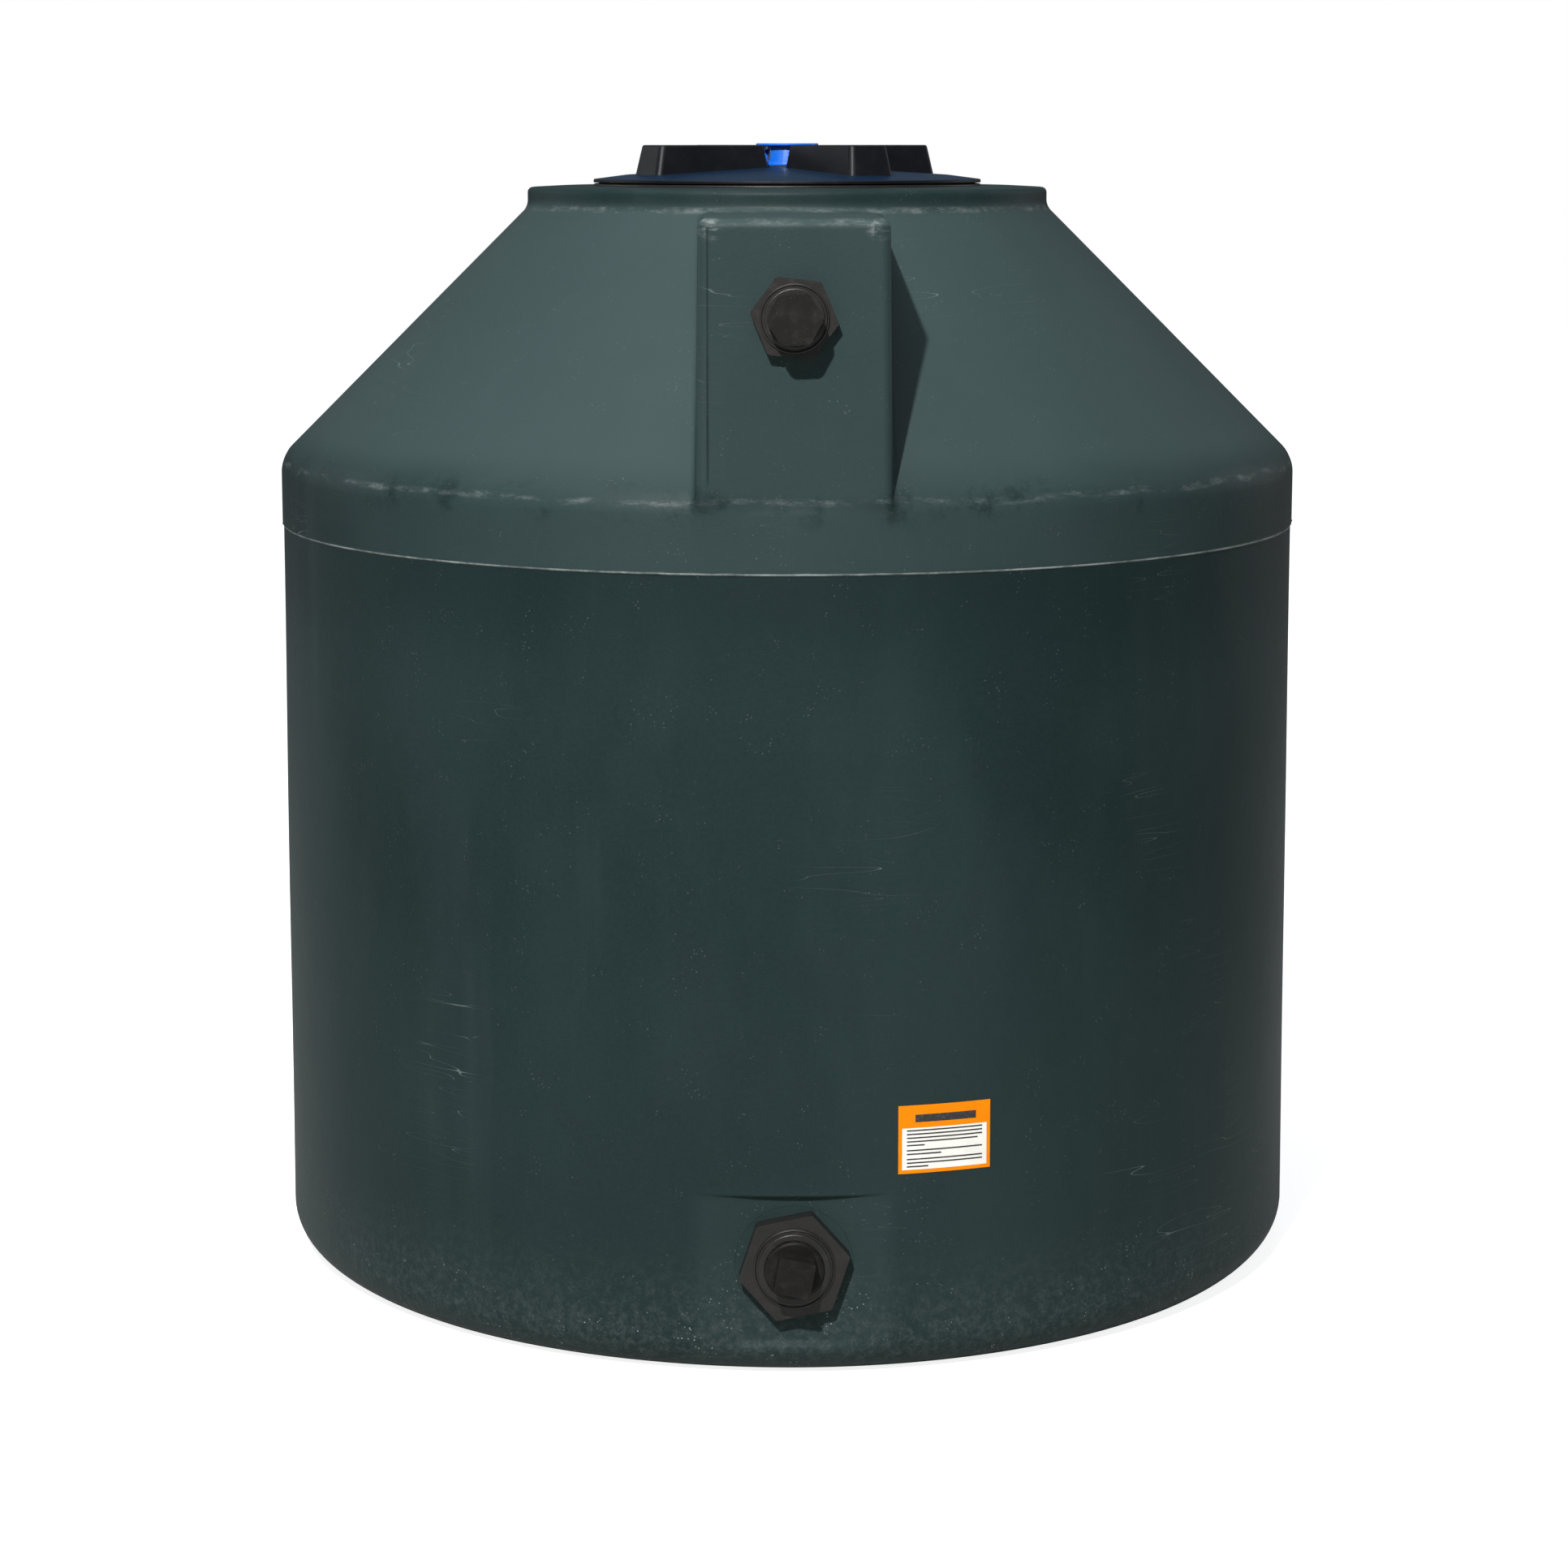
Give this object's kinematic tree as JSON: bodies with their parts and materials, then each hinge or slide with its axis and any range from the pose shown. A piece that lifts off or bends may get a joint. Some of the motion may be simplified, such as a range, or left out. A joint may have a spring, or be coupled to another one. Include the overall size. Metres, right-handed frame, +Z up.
{
  "type": "vertical water storage tank",
  "caption": "Closed upright plastic water tank with conical roof, screw-on vented manway lid and two plugged bulkhead fittings.",
  "frame": {"origin": "on the tank's axis, at its flat underside", "axes": "+Z up along the tank's axis, -Y towards the side with the fittings, +X to the right of someone facing them"},
  "size_m": [1.1712, 1.2176, 1.272],
  "materials": {
    "tank_plastic": "rotomoulded dark green-grey polyethylene, satin, fine orange peel",
    "lid_plastic": "textured black moulded plastic",
    "rubber": "black sponge rubber",
    "stainless": "stainless steel",
    "vent_plastic": "blue moulded plastic",
    "mesh": "fine stainless mesh",
    "fitting_plastic": "black polypropylene",
    "thread_tape": "white thread tape",
    "label": "orange and white vinyl with plain bars"
  },
  "bodies": {
    "tank": {"tank_shell": "tank_plastic", "manway_ring": "lid_plastic", "manway_ring_gasket": "rubber", "ring_screws": "stainless", "upper_fitting_body": "fitting_plastic", "upper_fitting_gasket": "rubber", "upper_fitting_nut": "fitting_plastic", "lower_fitting_body": "fitting_plastic", "lower_fitting_gasket": "rubber", "lower_fitting_nut": "fitting_plastic", "info_label": "label"},
    "lid_seal": {"lid_gasket": "rubber"},
    "vent_seal": {"vent_washer": "rubber"},
    "lid": {"manway_lid": "lid_plastic", "vent_body": "vent_plastic", "vent_cap": "vent_plastic", "vent_screen": "mesh", "vent_nut": "fitting_plastic"},
    "upper_tape": {"upper_plug_tape": "thread_tape"},
    "upper_plug": {"upper_plug": "fitting_plastic"},
    "lower_tape": {"lower_plug_tape": "thread_tape"},
    "lower_plug": {"lower_plug": "fitting_plastic"}
  },
  "joints": [
    {"name": "lid_lift_off", "type": "slide", "parent": "tank", "child": "lid_seal", "axis": [0, 0, 1], "range_m": [0, 0.3]},
    {"name": "lid_rise", "type": "slide", "parent": "lid_seal", "child": "vent_seal", "axis": [0, 0, 1], "range_m": [0, 0.0185]},
    {"name": "lid_turn", "type": "hinge", "parent": "vent_seal", "child": "lid", "pos_m": [0, 0, 1.23], "axis": [0, 0, 1], "range_deg": [0, 540]},
    {"name": "upper_plug_out", "type": "slide", "parent": "tank", "child": "upper_tape", "axis": [0, -1, 0], "range_m": [0, 0.0223]},
    {"name": "upper_plug_turn", "type": "hinge", "parent": "upper_tape", "child": "upper_plug", "pos_m": [0, -0.6, 1.099], "axis": [0, -1, 0], "range_deg": [0, 3600]},
    {"name": "lower_plug_out", "type": "slide", "parent": "tank", "child": "lower_tape", "axis": [0, -1, 0], "range_m": [0, 0.0223]},
    {"name": "lower_plug_turn", "type": "hinge", "parent": "lower_tape", "child": "lower_plug", "pos_m": [0, -0.6, 0.123], "axis": [0, -1, 0], "range_deg": [0, 3600]}
  ],
  "couplings": [
    {"joint": "lid_rise", "follows": "lid_turn", "m_per_rad": 0.0019099},
    {"joint": "upper_plug_out", "follows": "upper_plug_turn", "m_per_rad": 0.00035152},
    {"joint": "lower_plug_out", "follows": "lower_plug_turn", "m_per_rad": 0.00035152}
  ]
}
